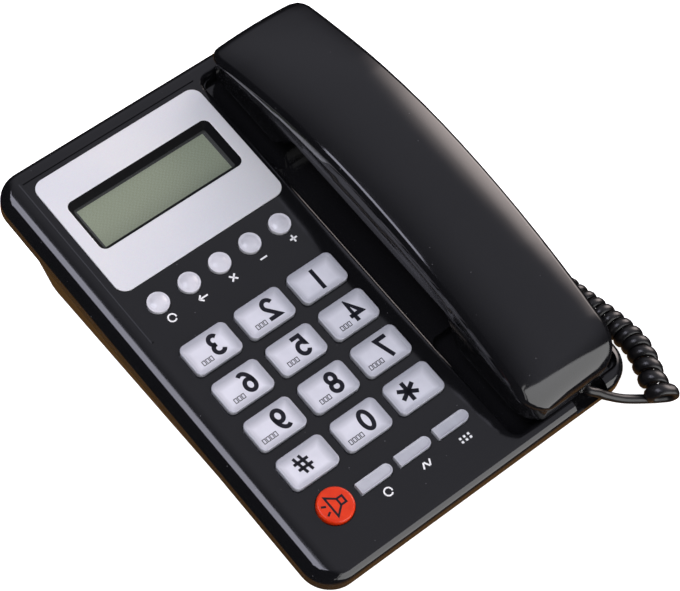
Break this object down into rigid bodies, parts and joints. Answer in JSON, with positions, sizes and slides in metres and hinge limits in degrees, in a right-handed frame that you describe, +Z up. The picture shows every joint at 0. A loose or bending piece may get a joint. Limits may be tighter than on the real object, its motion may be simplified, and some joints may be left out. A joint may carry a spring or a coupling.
{
  "type": "corded desk telephone",
  "caption": "Wedge-shaped corded desk telephone with a display, push keys, and a handset that lifts off a cradle on a curly cord.",
  "frame": {"origin": "middle of the base's footprint, on the surface it stands on", "axes": "+X towards the handset's side, +Y towards the back, +Z up"},
  "size_m": [0.1744, 0.2224, 0.0722],
  "materials": {
    "black_plastic": "gloss",
    "key_plastic": "satin",
    "silver_plastic": "satin",
    "red_plastic": "satin",
    "silver_plate": "satin",
    "clear_pane": "clear",
    "display_glass": "matt",
    "board": "matt",
    "rubber": "matt",
    "steel": "plain",
    "grey_plastic": "matt",
    "clear_plastic": "clear",
    "cord_plastic": "satin"
  },
  "bodies": {
    "base": {"top_housing": "black_plastic", "bottom_housing": "black_plastic", "faceplate": "silver_plate", "display_pane": "clear_pane", "lcd_panel": "display_glass", "display_board": "board", "main_board": "board", "keypad_mat": "rubber", "hook_switch": "grey_plastic", "loudspeaker": "grey_plastic", "handsfree_microphone": "steel", "line_socket": "grey_plastic", "base_cord_socket": "grey_plastic", "rubber_feet": "rubber", "housing_screws": "steel", "board_screws": "steel", "base_plug": "clear_plastic", "cord_lead_handset": "cord_plastic", "cord_coil": "cord_plastic", "cord_lead_base": "cord_plastic"},
    "handset": {"handset_back_shell": "black_plastic", "handset_front_shell": "black_plastic", "earpiece": "grey_plastic", "mouthpiece_microphone": "steel", "handset_weight": "steel", "handset_screws": "steel", "handset_cord_socket": "grey_plastic", "handset_plug": "clear_plastic"},
    "hook": {"hook_plunger": "black_plastic"},
    "key_1": {"key_1": "key_plastic"},
    "key_2": {"key_2": "key_plastic"},
    "key_3": {"key_3": "key_plastic"},
    "key_4": {"key_4": "key_plastic"},
    "key_5": {"key_5": "key_plastic"},
    "key_6": {"key_6": "key_plastic"},
    "key_7": {"key_7": "key_plastic"},
    "key_8": {"key_8": "key_plastic"},
    "key_9": {"key_9": "key_plastic"},
    "key_star": {"key_star": "key_plastic"},
    "key_0": {"key_0": "key_plastic"},
    "key_hash": {"key_hash": "key_plastic"},
    "menu_button_1": {"menu_button_1": "silver_plastic"},
    "menu_button_2": {"menu_button_2": "silver_plastic"},
    "menu_button_3": {"menu_button_3": "silver_plastic"},
    "menu_button_4": {"menu_button_4": "silver_plastic"},
    "menu_button_5": {"menu_button_5": "silver_plastic"},
    "function_key_1": {"function_key_1": "key_plastic"},
    "function_key_2": {"function_key_2": "key_plastic"},
    "function_key_3": {"function_key_3": "key_plastic"},
    "speaker_key": {"speaker_key": "red_plastic"}
  },
  "joints": [
    {"name": "handset_lift", "type": "slide", "parent": "base", "child": "handset", "axis": [0, -0.1736, 0.9848], "range_m": [0, 0.1], "deforming": ["cord_lead_handset", "cord_coil"]},
    {"name": "hook_plunger_rise", "type": "slide", "parent": "base", "child": "hook", "axis": [0, -0.1736, 0.9848], "range_m": [0, 0.005]},
    {"name": "key_1_press", "type": "slide", "parent": "base", "child": "key_1", "axis": [0, 0.1736, -0.9848], "range_m": [0, 0.0015], "stiffness_N_per_m": 400},
    {"name": "key_2_press", "type": "slide", "parent": "base", "child": "key_2", "axis": [0, 0.1736, -0.9848], "range_m": [0, 0.0015], "stiffness_N_per_m": 400},
    {"name": "key_3_press", "type": "slide", "parent": "base", "child": "key_3", "axis": [0, 0.1736, -0.9848], "range_m": [0, 0.0015], "stiffness_N_per_m": 400},
    {"name": "key_4_press", "type": "slide", "parent": "base", "child": "key_4", "axis": [0, 0.1736, -0.9848], "range_m": [0, 0.0015], "stiffness_N_per_m": 400},
    {"name": "key_5_press", "type": "slide", "parent": "base", "child": "key_5", "axis": [0, 0.1736, -0.9848], "range_m": [0, 0.0015], "stiffness_N_per_m": 400},
    {"name": "key_6_press", "type": "slide", "parent": "base", "child": "key_6", "axis": [0, 0.1736, -0.9848], "range_m": [0, 0.0015], "stiffness_N_per_m": 400},
    {"name": "key_7_press", "type": "slide", "parent": "base", "child": "key_7", "axis": [0, 0.1736, -0.9848], "range_m": [0, 0.0015], "stiffness_N_per_m": 400},
    {"name": "key_8_press", "type": "slide", "parent": "base", "child": "key_8", "axis": [0, 0.1736, -0.9848], "range_m": [0, 0.0015], "stiffness_N_per_m": 400},
    {"name": "key_9_press", "type": "slide", "parent": "base", "child": "key_9", "axis": [0, 0.1736, -0.9848], "range_m": [0, 0.0015], "stiffness_N_per_m": 400},
    {"name": "key_star_press", "type": "slide", "parent": "base", "child": "key_star", "axis": [0, 0.1736, -0.9848], "range_m": [0, 0.0015], "stiffness_N_per_m": 400},
    {"name": "key_0_press", "type": "slide", "parent": "base", "child": "key_0", "axis": [0, 0.1736, -0.9848], "range_m": [0, 0.0015], "stiffness_N_per_m": 400},
    {"name": "key_hash_press", "type": "slide", "parent": "base", "child": "key_hash", "axis": [0, 0.1736, -0.9848], "range_m": [0, 0.0015], "stiffness_N_per_m": 400},
    {"name": "menu_button_1_press", "type": "slide", "parent": "base", "child": "menu_button_1", "axis": [0, 0.1736, -0.9848], "range_m": [0, 0.0015], "stiffness_N_per_m": 400},
    {"name": "menu_button_2_press", "type": "slide", "parent": "base", "child": "menu_button_2", "axis": [0, 0.1736, -0.9848], "range_m": [0, 0.0015], "stiffness_N_per_m": 400},
    {"name": "menu_button_3_press", "type": "slide", "parent": "base", "child": "menu_button_3", "axis": [0, 0.1736, -0.9848], "range_m": [0, 0.0015], "stiffness_N_per_m": 400},
    {"name": "menu_button_4_press", "type": "slide", "parent": "base", "child": "menu_button_4", "axis": [0, 0.1736, -0.9848], "range_m": [0, 0.0015], "stiffness_N_per_m": 400},
    {"name": "menu_button_5_press", "type": "slide", "parent": "base", "child": "menu_button_5", "axis": [0, 0.1736, -0.9848], "range_m": [0, 0.0015], "stiffness_N_per_m": 400},
    {"name": "function_key_1_press", "type": "slide", "parent": "base", "child": "function_key_1", "axis": [0, 0.1736, -0.9848], "range_m": [0, 0.0015], "stiffness_N_per_m": 400},
    {"name": "function_key_2_press", "type": "slide", "parent": "base", "child": "function_key_2", "axis": [0, 0.1736, -0.9848], "range_m": [0, 0.0015], "stiffness_N_per_m": 400},
    {"name": "function_key_3_press", "type": "slide", "parent": "base", "child": "function_key_3", "axis": [0, 0.1736, -0.9848], "range_m": [0, 0.0015], "stiffness_N_per_m": 400},
    {"name": "speaker_key_press", "type": "slide", "parent": "base", "child": "speaker_key", "axis": [0, 0.1736, -0.9848], "range_m": [0, 0.0015], "stiffness_N_per_m": 400}
  ],
  "couplings": [
    {"joint": "hook_plunger_rise", "follows": "handset_lift", "ratio": 0.05}
  ]
}
